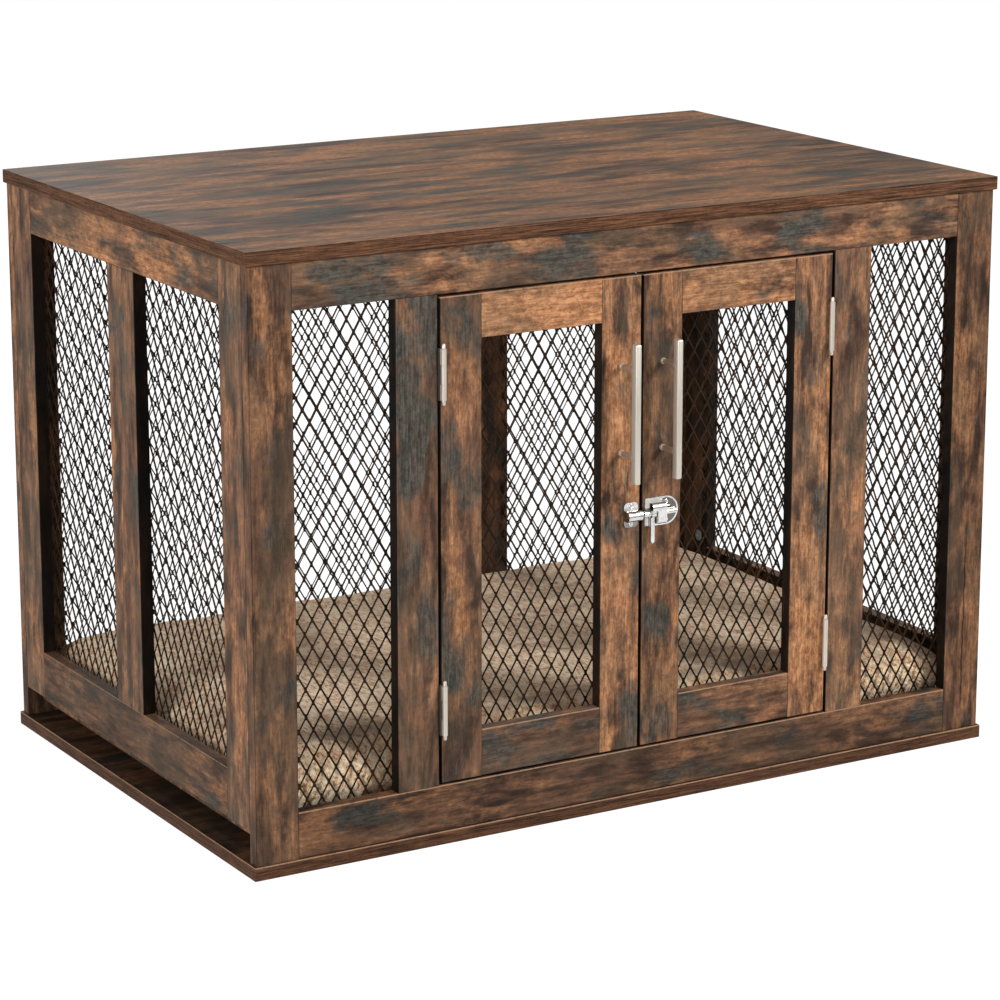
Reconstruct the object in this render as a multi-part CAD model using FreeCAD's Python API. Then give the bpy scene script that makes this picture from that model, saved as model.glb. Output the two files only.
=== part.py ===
import FreeCAD, Part
import math
import os

os.makedirs("parts", exist_ok=True)
V = FreeCAD.Vector

# Wooden pet crate: laminated boards, expanded metal windows and a pair of front doors.
# All sizes in millimetres. +Z is up, -Y is the front with the doors, and the origin
# is at the middle of the base panel's underside.

# Whole crate and its boards
length = 950.0
depth = 622.0
height = 666.0
board = 15.0
overhang = 3.0
eased_edge = 0.6

# Front frame
corner_stile = 50.0
inner_stile = 50.0
front_window = 119.0
top_rail = 50.0
bottom_rail = 51.0

# Back frame, whose inner stiles stand nearer the middle
back_window = 234.0

# Side frames, which end above the base and leave the tray's slot
slot_height = 35.0
side_end_stile = 52.0
side_middle_stile = 68.0
side_bottom_rail = 55.0
side_top_rail = 50.0

# Doors
door_gap = 3.0
meeting_gap = 3.0
door_stile = 50.0
door_top_rail = 48.0
door_bottom_rail = 52.0

# Expanded metal: a border strip behind the boards and slanted strands across the window
diamond_width = 35.0
diamond_height = 60.0
strand = 2.0
mesh_sheet = 3.0
mesh_lap = 8.0
layer_gap = 0.2
strand_bite = 1.0
shortest_strand = 8.0

# Butt hinges: pin axis proud of the door's face and a little inside its edge
hinge_end_distance = 81.5
hinge_inset = 5.0
hinge_proud = 4.0
barrel_radius = 3.0
outer_knuckle = 17.0
middle_knuckle = 21.0
knuckle_gap = 0.2
leaf_sheet = 1.1
leaf_depth = 13.0
leaf_bridge = 1.6
hinge_pin_radius = 1.2
pin_clearance = 0.06
finial_radius = 2.2
finial_length = 5.6

# Bar handles
bar_length = 154.0
bar_width = 7.0
bar_depth = 9.5
bar_edge = 1.0
post_radius = 3.2
post_centres = 96.0
grip_gap = 26.0
handle_height_share = 0.726

# Barrel latch on the right door
latch_height_share = 0.501
latch_from_edge = 3.0
latch_plate_length = 43.0
latch_plate_height = 32.0
latch_sheet = 1.5
latch_plate_round = 2.5
housing_from_end = 3.0
housing_length = 18.0
housing_height = 24.0
housing_over_axis = 7.0
housing_round = 5.0
housing_flange = 2.0
housing_flange_height = 30.0
bolt_axis_out = 6.9
bolt_radius = 3.5
bolt_clearance = 0.06
bolt_length = 42.0
bolt_tip_clearance = 0.6
bolt_chamfer = 0.7
lever_end_radius = 1.8
lever_end_length = 1.6
lever_pocket = 6.8
lever_pocket_radius = 5.3
lever_collar_length = 5.6
lever_collar_radius = 4.9
lever_radius = 2.8
lever_length = 31.7
lever_play = 0.6
latch_screw_from_end = 16.0
latch_screw_spacing = 20.0
screw_head_radius = 3.0
screw_head_height = 1.3

# Keeper on the left door
keeper_from_edge = 3.0
keeper_length = 18.0
keeper_height = 28.0
keeper_sheet = 1.6
keeper_clearance = 1.0
keeper_screw_spacing = 20.0
keeper_ear_round = 5.0

# Floor tray and the battens under it
tray_clearance = 1.5
tray_end_clearance = 4.0
batten_height = 15.8
batten_width = 20.0
batten_setback = 28.0
tray_play = 0.2

# Cam locks in the end stiles of the side frames
cam_radius = 7.5
cam_depth = 12.0
cam_from_joint = 34.0
cam_from_end = 67.0
cam_clearance = 0.05

# Cushion
cushion_play = 0.3
cushion_side_gap = 5.5
cushion_seam_height = 27.0
cushion_edge_height = 49.0
cushion_crown_height = 61.0
cushion_corner_radius = 60.0
cushion_draw_in = 5.0
cushion_foot_inset = 12.0
cushion_top_inset = 26.0
cushion_crown_inset = 215.0
corner_runs = 4
side_runs = 3
quarter_shares = (0, 0.35, 0.7, 1)
crown_shares = (0.3, 1)

# Overrun of every cut
overrun = 1.0

# Faces that several pieces share
half_length = length / 2 - overhang
half_depth = depth / 2 - overhang
base_top = board
frame_top = height - board
inner_front = half_depth - board
inner_side = half_length - board


def span_box(xs, ys, zs):
    return Part.makeBox(xs[1] - xs[0], ys[1] - ys[0], zs[1] - zs[0], V(xs[0], ys[0], zs[0]))


def edges_along(solid, direction):
    return [e for e in solid.Edges if abs(e.tangentAt(e.FirstParameter).dot(direction)) == 1]


def plank(xs, ys, zs, grain):
    """A board with its four long edges eased."""
    solid = span_box(xs, ys, zs)
    return solid.makeChamfer(eased_edge, edges_along(solid, grain))


def save(name, shape):
    shape.exportStep("parts/" + name + ".step")


def group(solids):
    return Part.makeCompound(solids)


class Wall:
    """A frame's plane: u runs along it, z is up, and its boards fill the thickness."""

    def __init__(self, along_x, outer, inner):
        self.along_x = along_x
        self.inner = inner
        self.inward = 1 if inner > outer else -1
        self.boards = (min(outer, inner), max(outer, inner))

    def board(self, u, z, upright):
        grain = V(0, 0, 1) if upright else (V(1, 0, 0) if self.along_x else V(0, 1, 0))
        if self.along_x:
            return plank(u, self.boards, z, grain)
        return plank(self.boards, u, z, grain)

    def mesh(self, u, z):
        """Expanded metal on the inner face, over a window that spans u and z."""
        panel = expanded_mesh(u, z)
        near = self.inner if self.inward > 0 else self.inner - mesh_sheet
        if self.along_x:
            panel.translate(V(0, near, 0))
        else:
            panel.rotate(V(0, 0, 0), V(0, 0, 1), 90)
            panel.translate(V(near + mesh_sheet, 0, 0))
        return panel


def widened(span, margin):
    return (span[0] - margin, span[1] + margin)


def expanded_mesh(u, z):
    """Border strip and two layers of strands, one leaning each way, as one solid."""
    through = (-overrun, mesh_sheet + overrun)
    border = span_box(widened(u, mesh_lap), (0, mesh_sheet), widened(z, mesh_lap))
    border = border.cut(span_box(u, through, z))
    reach = span_box(widened(u, strand_bite), through, widened(z, strand_bite))
    layer = (mesh_sheet - layer_gap) / 2
    slope = math.degrees(math.atan2(diamond_height, diamond_width))
    middle_u = (u[0] + u[1]) / 2
    middle_z = (z[0] + z[1]) / 2
    diagonal = math.hypot(u[1] - u[0], z[1] - z[0]) + mesh_lap
    spread = (u[1] - u[0] + (z[1] - z[0]) * diamond_width / diamond_height) / 2
    count = int(spread / diamond_width)
    strands = []
    for first, lean in ((0, 1), (layer + layer_gap, -1)):
        for step in range(-count, count + 1):
            bar_x = (-diagonal / 2, diagonal / 2)
            bar = span_box(bar_x, (first, first + layer), (-strand / 2, strand / 2))
            bar.rotate(V(0, 0, 0), V(0, -1, 0), lean * slope)
            bar.translate(V(middle_u + step * diamond_width, 0, middle_z))
            piece = bar.common(reach)
            if piece.Volume > shortest_strand * strand * layer:
                strands.append(piece)
    return border.fuse(strands).Solids[0]


# Top and base panels: one laminated board each
top_z = (frame_top, height)
base_z = (0, base_top)
save("top_panel", plank((-length / 2, length / 2), (-depth / 2, depth / 2), top_z, V(1, 0, 0)))
save("base_panel", plank((-length / 2, length / 2), (-depth / 2, depth / 2), base_z, V(1, 0, 0)))

# Front frame: corner stiles from panel to panel, rails and inner stiles between them
front = Wall(True, -half_depth, -inner_front)
front_rail_top = base_top + bottom_rail
front_rail_under = frame_top - top_rail
corner_edge = half_length - corner_stile
inner_edge = corner_edge - front_window
opening_edge = inner_edge - inner_stile
window_z = (front_rail_top, front_rail_under)
for side, sign in (("left", -1), ("right", 1)):
    corner_u = sorted((sign * half_length, sign * corner_edge))
    stile_u = sorted((sign * inner_edge, sign * opening_edge))
    window_u = sorted((sign * corner_edge, sign * inner_edge))
    save("front_" + side + "_corner_stile", front.board(corner_u, (base_top, frame_top), True))
    save("front_" + side + "_inner_stile", front.board(stile_u, window_z, True))
    save("front_" + side + "_mesh", front.mesh(window_u, window_z))
rail_u = (-corner_edge, corner_edge)
save("front_top_rail", front.board(rail_u, (front_rail_under, frame_top), False))
save("front_bottom_rail", front.board(rail_u, (base_top, front_rail_top), False))

# Back frame: the same boards, with three windows
back = Wall(True, half_depth, inner_front)
back_stile_outer = corner_edge - back_window
back_stile_inner = back_stile_outer - inner_stile
for side, sign in (("left", -1), ("right", 1)):
    corner_u = sorted((sign * half_length, sign * corner_edge))
    stile_u = sorted((sign * back_stile_outer, sign * back_stile_inner))
    window_u = sorted((sign * corner_edge, sign * back_stile_outer))
    save("back_" + side + "_corner_stile", back.board(corner_u, (base_top, frame_top), True))
    save("back_" + side + "_inner_stile", back.board(stile_u, window_z, True))
    save("back_" + side + "_mesh", back.mesh(window_u, window_z))
save("back_centre_mesh", back.mesh((-back_stile_inner, back_stile_inner), window_z))
save("back_top_rail", back.board(rail_u, (front_rail_under, frame_top), False))
save("back_bottom_rail", back.board(rail_u, (base_top, front_rail_top), False))

# Side frames: between the front and back frames, above the slot, held by cam locks
side_under = base_top + slot_height
side_window_z = (side_under + side_bottom_rail, frame_top - side_top_rail)
side_stile_edge = inner_front - side_end_stile
middle_edge = side_middle_stile / 2
cam_heights = (side_under + cam_from_end, frame_top - cam_from_end)
cam_locks = []
for side, sign in (("left", -1), ("right", 1)):
    wall = Wall(False, sign * half_length, sign * inner_side)
    for end, end_sign in (("front", -1), ("rear", 1)):
        stile_u = sorted((end_sign * inner_front, end_sign * side_stile_edge))
        stile = wall.board(stile_u, (side_under, frame_top), True)
        cam_y = end_sign * (inner_front - cam_from_joint)
        for cam_z in cam_heights:
            seat = V(sign * inner_side, cam_y, cam_z)
            bore_start = seat - V(sign * overrun, 0, 0)
            bore_radius = cam_radius + cam_clearance
            bore = Part.makeCylinder(bore_radius, cam_depth + overrun, bore_start, V(sign, 0, 0))
            stile = stile.cut(bore)
            cam_locks.append(Part.makeCylinder(cam_radius, cam_depth, seat, V(sign, 0, 0)))
        save(side + "_side_" + end + "_stile", stile)
        window_u = sorted((end_sign * side_stile_edge, end_sign * middle_edge))
        save(side + "_side_" + end + "_mesh", wall.mesh(window_u, side_window_z))
    save(side + "_side_middle_stile", wall.board((-middle_edge, middle_edge), side_window_z, True))
    side_rail_u = (-side_stile_edge, side_stile_edge)
    save(side + "_side_bottom_rail", wall.board(side_rail_u, (side_under, side_window_z[0]), False))
    save(side + "_side_top_rail", wall.board(side_rail_u, (side_window_z[1], frame_top), False))
save("cam_locks", group(cam_locks))

# Doors: flush in the front opening, stiles full height with the rails between them
door_z = (front_rail_top + door_gap, front_rail_under - door_gap)
door_window_z = (door_z[0] + door_bottom_rail, door_z[1] - door_top_rail)
door_hinge_edge = opening_edge - door_gap
door_meeting_edge = meeting_gap / 2
door_hinge_window = door_hinge_edge - door_stile
door_meeting_window = door_meeting_edge + door_stile
for side, sign in (("left", -1), ("right", 1)):
    name = side + "_door"
    hinge_u = sorted((sign * door_hinge_edge, sign * door_hinge_window))
    meeting_u = sorted((sign * door_meeting_edge, sign * door_meeting_window))
    window_u = sorted((sign * door_meeting_window, sign * door_hinge_window))
    save(name + "_hinge_stile", front.board(hinge_u, door_z, True))
    save(name + "_meeting_stile", front.board(meeting_u, door_z, True))
    save(name + "_top_rail", front.board(window_u, (door_window_z[1], door_z[1]), False))
    save(name + "_bottom_rail", front.board(window_u, (door_z[0], door_window_z[0]), False))
    save(name + "_mesh", front.mesh(window_u, door_window_z))

# Butt hinges: built for the right door, mirrored for the left
axis_x = opening_edge - hinge_inset
axis_y = -half_depth - hinge_proud
knuckle_reach = middle_knuckle / 2 + outer_knuckle
hinge_heights = (door_z[0] + hinge_end_distance, door_z[1] - hinge_end_distance)


def knuckle(low, high):
    return Part.makeCylinder(barrel_radius, high - low, V(axis_x, axis_y, low))


def pierced(leaf, middle):
    """Bores a leaf's knuckles for the hinge pin."""
    start = V(axis_x, axis_y, middle - knuckle_reach - overrun)
    length = (knuckle_reach + overrun) * 2
    return leaf.cut(Part.makeCylinder(hinge_pin_radius + pin_clearance, length, start))


def frame_leaf(middle):
    """Plate on the stile's edge, bridges past the door's corner, and the two outer knuckles."""
    plate_x = (opening_edge - leaf_sheet, opening_edge)
    plate_y = (axis_y + leaf_bridge, -half_depth + leaf_depth)
    leaf = span_box(plate_x, plate_y, (middle - knuckle_reach, middle + knuckle_reach))
    bridge_y = (axis_y + leaf_bridge, axis_y + leaf_bridge + leaf_sheet)
    knuckle_start = middle_knuckle / 2 + knuckle_gap
    for up in (-1, 1):
        low, high = sorted((middle + up * knuckle_reach, middle + up * knuckle_start))
        bridge = span_box((axis_x, opening_edge), bridge_y, (low, high))
        leaf = leaf.fuse([bridge, knuckle(low, high)])
    return pierced(leaf, middle)


def door_leaf(middle):
    """Plate on the door's edge with the middle knuckle in front of it."""
    plate_x = (door_hinge_edge, door_hinge_edge + leaf_sheet)
    plate_z = (middle - knuckle_reach, middle + knuckle_reach)
    low, high = middle - middle_knuckle / 2, middle + middle_knuckle / 2
    leaf = span_box(plate_x, (-half_depth, -half_depth + leaf_depth), plate_z)
    bridge = span_box(plate_x, (axis_y, -half_depth + overrun), (low, high))
    leaf = leaf.fuse([bridge, knuckle(low, high)])
    return pierced(leaf, middle)


def hinge_pin(middle):
    """Pin with a finial at each end."""
    low = V(axis_x, axis_y, middle - knuckle_reach)
    pin = Part.makeCylinder(hinge_pin_radius, knuckle_reach * 2, low)
    finials = []
    for up in (-1, 1):
        end = V(axis_x, axis_y, middle + up * knuckle_reach)
        finials.append(Part.makeCylinder(finial_radius, finial_length, end, V(0, 0, up)))
    return pin.fuse(finials)


def mirrored(shape):
    return shape.mirror(V(0, 0, 0), V(1, 0, 0))


right_frame_leaves = [frame_leaf(z) for z in hinge_heights]
right_door_leaves = [door_leaf(z) for z in hinge_heights]
right_pins = [hinge_pin(z) for z in hinge_heights]
save("hinge_frame_leaves", group(right_frame_leaves + [mirrored(s) for s in right_frame_leaves]))
save("hinge_pins", group(right_pins + [mirrored(s) for s in right_pins]))
save("right_door_hinge_leaves", group(right_door_leaves))
save("left_door_hinge_leaves", group([mirrored(s) for s in right_door_leaves]))


# Bar handles: a flat bar on two posts, in the middle of each meeting stile
handle_centre = door_z[0] + (door_z[1] - door_z[0]) * handle_height_share


def bar_handle(x):
    outer_y = -half_depth - grip_gap - bar_depth
    bar = span_box((x - bar_width / 2, x + bar_width / 2), (outer_y, outer_y + bar_depth),
                   (handle_centre - bar_length / 2, handle_centre + bar_length / 2))
    bar = bar.makeChamfer(bar_edge, edges_along(bar, V(0, 0, 1)))
    posts = []
    for up in (-1, 1):
        foot = V(x, -half_depth, handle_centre + up * post_centres / 2)
        posts.append(Part.makeCylinder(post_radius, grip_gap + bar_depth / 2, foot, V(0, -1, 0)))
    return bar.fuse(posts)


handle_x = door_meeting_edge + door_stile / 2
save("left_handle", bar_handle(-handle_x))
save("right_handle", bar_handle(handle_x))

# Barrel latch: plate and housing on the right door, the bolt sliding in it along X
latch_centre = door_z[0] + (door_z[1] - door_z[0]) * latch_height_share
latch_left = door_meeting_edge + latch_from_edge
latch_right = latch_left + latch_plate_length
housing_left = latch_left + housing_from_end
housing_right = housing_left + housing_length
pocket_right = housing_left + lever_pocket
bolt_y = -half_depth - bolt_axis_out
plate_front = -half_depth - latch_sheet
flange_front = plate_front - housing_flange
bolt_tip = -door_meeting_edge + bolt_tip_clearance
bore_radius = bolt_radius + bolt_clearance


def rod(radius, left, right):
    return Part.makeCylinder(radius, right - left, V(left, bolt_y, latch_centre), V(1, 0, 0))


def across(half_span):
    return (latch_centre - half_span, latch_centre + half_span)


def screw_head(x, z, face_y):
    return Part.makeCylinder(screw_head_radius, screw_head_height, V(x, face_y, z), V(0, -1, 0))


plate_end = latch_right - latch_plate_height / 2
plate = span_box((latch_left, plate_end), (plate_front, -half_depth), across(latch_plate_height / 2))
plate_corners = [e for e in edges_along(plate, V(0, 1, 0)) if e.BoundBox.XMax < plate_end]
plate = plate.makeFillet(latch_plate_round, plate_corners)
round_centre = V(plate_end, -half_depth, latch_centre)
round_end = Part.makeCylinder(latch_plate_height / 2, latch_sheet, round_centre, V(0, -1, 0))
housing_x = (housing_left, housing_right)
flange = span_box(housing_x, (flange_front, plate_front), across(housing_flange_height / 2))
saddle_y = (bolt_y - housing_over_axis, plate_front)
saddle = span_box(housing_x, saddle_y, across(housing_height / 2))
shoulders = [e for e in edges_along(saddle, V(1, 0, 0)) if e.BoundBox.YMax < bolt_y]
saddle = saddle.makeFillet(housing_round, shoulders)
latch_body = plate.fuse([round_end, flange, saddle])
latch_body = latch_body.cut(rod(bore_radius, housing_left - overrun, housing_right + overrun))
pocket_x = (housing_left - overrun, pocket_right)
pocket_y = (saddle_y[0] - overrun, flange_front)
pocket_z = (latch_centre - latch_plate_height / 2, latch_centre + lever_radius + lever_play)
collar_room = rod(lever_pocket_radius, *pocket_x)
latch_body = latch_body.cut([span_box(pocket_x, pocket_y, pocket_z), collar_room])
save("latch_body", latch_body.removeSplitter())

bolt = rod(bolt_radius, bolt_tip, bolt_tip + bolt_length)
bolt_rims = [e for e in bolt.Edges if e.BoundBox.XLength < bolt_chamfer]
save("latch_bolt", bolt.makeChamfer(bolt_chamfer, bolt_rims))

# The lever's collar turns with the bolt; the stem hangs through the housing's pocket
collar_left = housing_left + lever_play
collar_right = collar_left + lever_collar_length
lever_x = (collar_left + collar_right) / 2
down = V(0, 0, -1)
stem = Part.makeCylinder(lever_radius, lever_length, V(lever_x, bolt_y, latch_centre), down)
stem_foot = V(lever_x, bolt_y, latch_centre - lever_length)
stem_end = Part.makeCone(lever_radius, lever_end_radius, lever_end_length, stem_foot, down)
lever = rod(lever_collar_radius, collar_left, collar_right).fuse([stem, stem_end])
save("latch_lever", lever.cut(rod(bore_radius, collar_left - overrun, collar_right + overrun)))

# Keeper: a strap over the bolt with two ears on the left door's face
keeper_right = -door_meeting_edge - keeper_from_edge
keeper_x = (keeper_right - keeper_length, keeper_right)
keeper_inner = bolt_radius + keeper_clearance
keeper_outer = keeper_inner + keeper_sheet
keeper_front = -half_depth - keeper_sheet
ears = span_box(keeper_x, (keeper_front, -half_depth), across(keeper_height / 2))
ears = ears.makeFillet(keeper_ear_round, edges_along(ears, V(0, 1, 0)))
strap_sides = span_box(keeper_x, (bolt_y, -half_depth), across(keeper_outer))
strap_crest = rod(keeper_outer, *keeper_x).common(
    span_box(keeper_x, (bolt_y - keeper_outer, bolt_y), across(keeper_outer)))
mouth_x = (keeper_x[0] - overrun, keeper_x[1] + overrun)
mouth = span_box(mouth_x, (bolt_y, -half_depth + overrun), across(keeper_inner))
keeper = ears.fuse([strap_sides, strap_crest]).cut(mouth).cut(rod(keeper_inner, *mouth_x))
save("latch_keeper", keeper.removeSplitter())

latch_screw_x = latch_right - latch_screw_from_end
keeper_screw_x = (keeper_x[0] + keeper_x[1]) / 2
latch_screw_z = across(latch_screw_spacing / 2)
keeper_screw_z = across(keeper_screw_spacing / 2)
save("latch_screws", group([screw_head(latch_screw_x, z, plate_front) for z in latch_screw_z]))
save("keeper_screws", group([screw_head(keeper_screw_x, z, keeper_front) for z in keeper_screw_z]))

# Floor tray on three battens, free to slide out through either side's slot
batten_top = base_top + batten_height
tray_under = batten_top + tray_play
tray_top = tray_under + board
batten_end = inner_side - batten_setback
batten_offset = inner_front - batten_width / 2
battens = []
for middle_y in (-batten_offset, 0, batten_offset):
    batten_y = (middle_y - batten_width / 2, middle_y + batten_width / 2)
    battens.append(span_box((-batten_end, batten_end), batten_y, (base_top, batten_top)))
save("tray_battens", group(battens))
tray_x = inner_side - tray_end_clearance
tray_y = inner_front - tray_clearance
save("floor_tray", plank((-tray_x, tray_x), (-tray_y, tray_y), (tray_under, tray_top), V(0, 1, 0)))

# Cushion: outlines one above the other, from the flat foot to the crown
cushion_x = inner_side - mesh_sheet - cushion_side_gap
cushion_y = inner_front - mesh_sheet - cushion_side_gap
cushion_foot = tray_top + cushion_play


def cushion_outline(inset, z):
    """Short runs round the four corners, and four sides drawn in between them."""
    half_x, half_y = cushion_x - inset, cushion_y - inset
    corner = cushion_corner_radius * (1 - inset / cushion_y)
    drawn = cushion_draw_in * (1 - inset / cushion_y)
    points = []
    for side_x, side_y in ((1, 1), (-1, 1), (-1, -1), (1, -1)):
        quarter = []
        for run in range(corner_runs + 1):
            turn = run / corner_runs * math.pi / 2
            quarter.append((half_x - corner * (1 - math.cos(turn)),
                            half_y - corner * (1 - math.sin(turn))))
        for run in range(1, side_runs):
            share = 1 - run / side_runs
            quarter.append(((half_x - corner) * share, half_y - drawn * (1 - share ** 2)))
            quarter.insert(0, (half_x - drawn * (1 - share ** 2), (half_y - corner) * share))
        if side_x * side_y < 0:
            quarter.reverse()
        points.extend(V(side_x * x, side_y * y, z) for x, y in quarter)
    return Part.makePolygon(points + points[:1])


outlines = []
for share in quarter_shares:
    turn = share * math.pi / 2
    inset = cushion_foot_inset * (1 - math.sin(turn))
    rise = cushion_seam_height * (1 - math.cos(turn))
    outlines.append(cushion_outline(inset, cushion_foot + rise))
for share in quarter_shares[1:]:
    turn = share * math.pi / 2
    inset = cushion_top_inset * (1 - math.cos(turn))
    rise = (cushion_edge_height - cushion_seam_height) * math.sin(turn)
    outlines.append(cushion_outline(inset, cushion_foot + cushion_seam_height + rise))
for share in crown_shares:
    inset = cushion_top_inset + (cushion_crown_inset - cushion_top_inset) * share
    rise = (cushion_crown_height - cushion_edge_height) * (1 - (1 - share) ** 2)
    outlines.append(cushion_outline(inset, cushion_foot + cushion_edge_height + rise))
save("cushion", Part.makeLoft(outlines, True, True))
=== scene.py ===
import math
import bmesh
import bpy
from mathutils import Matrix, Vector, noise


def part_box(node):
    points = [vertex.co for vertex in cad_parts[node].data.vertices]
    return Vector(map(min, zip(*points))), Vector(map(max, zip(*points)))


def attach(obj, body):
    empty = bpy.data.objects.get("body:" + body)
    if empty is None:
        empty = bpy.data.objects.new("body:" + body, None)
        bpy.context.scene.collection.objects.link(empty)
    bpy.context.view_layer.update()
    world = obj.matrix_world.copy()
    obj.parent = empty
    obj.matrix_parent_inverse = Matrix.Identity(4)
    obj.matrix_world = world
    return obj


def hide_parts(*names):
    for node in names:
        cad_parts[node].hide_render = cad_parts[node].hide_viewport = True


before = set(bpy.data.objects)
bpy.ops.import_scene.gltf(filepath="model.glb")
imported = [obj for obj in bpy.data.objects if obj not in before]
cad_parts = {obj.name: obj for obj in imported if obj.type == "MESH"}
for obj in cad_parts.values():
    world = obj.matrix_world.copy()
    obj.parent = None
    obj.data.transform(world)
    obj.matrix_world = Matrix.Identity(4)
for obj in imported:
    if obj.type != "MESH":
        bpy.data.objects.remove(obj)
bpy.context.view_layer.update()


# Top and base panels. Boards of chip core with a printed woodgrain laminate on every face; the
# grain runs along the crate. The base lies on the floor and the top is held down by cam locks.
# Both stand a little past the frames and have a printed edge band; along the base's upper edge a pale
# line is part wear and part painted highlight.
class Shade:
    """A socket of a finish, on which sums can be written."""

    def __init__(self, tree, socket=None):
        self.tree, self.socket = tree, socket

    def node(self, kind, settings, sockets, out=0):
        made = self.tree.nodes.new("ShaderNode" + kind)
        for key, value in settings.items():
            setattr(made, key, value)
        for key, value in sockets.items():
            if isinstance(value, Shade):
                self.tree.links.new(value.socket, made.inputs[key])
            else:
                made.inputs[key].default_value = value
        return Shade(self.tree, made.outputs[out] if made.outputs else None)

    def sum(self, operation, *terms):
        return self.node("Math", {"operation": operation}, dict(enumerate(terms)))

    def __add__(self, other):
        return self.sum("ADD", self, other)

    def __radd__(self, other):
        return self.sum("ADD", other, self)

    def __sub__(self, other):
        return self.sum("SUBTRACT", self, other)

    def __rsub__(self, other):
        return self.sum("SUBTRACT", other, self)

    def __mul__(self, other):
        return self.sum("MULTIPLY", self, other)

    def __rmul__(self, other):
        return self.sum("MULTIPLY", other, self)

    def __abs__(self):
        return self.sum("ABSOLUTE", self)

    def larger(self, other):
        return self.sum("MAXIMUM", self, other)

    def rise(self, low, high):
        """0 at low and 1 at high, level past them and smooth between."""
        return self.node("MapRange", {"interpolation_type": "SMOOTHSTEP"}, {0: self, 1: low, 2: high})

    def place(self):
        """Where on the piece a point lies."""
        return self.node("TexCoord", {}, {}, "Object")

    def facing(self):
        """Which way the surface faces there."""
        return self.node("TexCoord", {}, {}, "Normal")

    def parts(self):
        return [self.node("SeparateXYZ", {}, {0: self}, axis) for axis in range(3)]

    def stretch(self, factors, shift=(0, 0, 0)):
        scaled = self.node("VectorMath", {"operation": "MULTIPLY"}, {0: self, 1: factors})
        return self.node("VectorMath", {"operation": "ADD"}, {0: scaled, 1: shift})

    def cloud(self, detail=2.0, roughness=0.5, distortion=0.0):
        return self.node("TexNoise", {}, {"Vector": self, "Scale": 1.0, "Detail": detail,
                                          "Roughness": roughness, "Distortion": distortion})

    def tint(self, low, high, share):
        """The colour low where share is 0, high where it is 1."""
        return self.node("Mix", {"data_type": "RGBA"}, {0: share, 6: low, 7: high}, 2)

    def blended(self, other, share, way="MIX"):
        return self.node("Mix", {"data_type": "RGBA", "blend_type": way}, {0: share, 6: self, 7: other}, 2)


def paint(red, green, blue):
    """A colour as it reads on a screen, 0 to 255, as the shader wants it."""
    linear = [((c / 255 + 0.055) / 1.055) ** 2.4 if c > 10 else c / 255 / 12.92 for c in (red, green, blue)]
    return (*linear, 1.0)


def finish(name, **constants):
    """A new material: itself, its shader, and a Shade on which its nodes are made."""
    material = bpy.data.materials.new(name)
    material.use_nodes = True
    shader = material.node_tree.nodes["Principled BSDF"]
    for key, value in constants.items():
        shader.inputs[key.replace("_", " ").title().replace("Ior", "IOR")].default_value = value
    return material, shader, Shade(material.node_tree)


def link(shader, name, shade):
    shade.tree.links.new(shade.socket, shader.inputs[name])


def roughen(shader, height, strength, distance):
    """Fine relief, too small to model."""
    relief = {"Strength": strength, "Distance": distance, "Height": height}
    link(shader, "Normal", height.node("Bump", {}, relief))


def give(node, material):
    """Puts a finish on a piece that stays as the CAD made it."""
    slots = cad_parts[node].data.materials
    slots.clear()
    slots.append(material)


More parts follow.
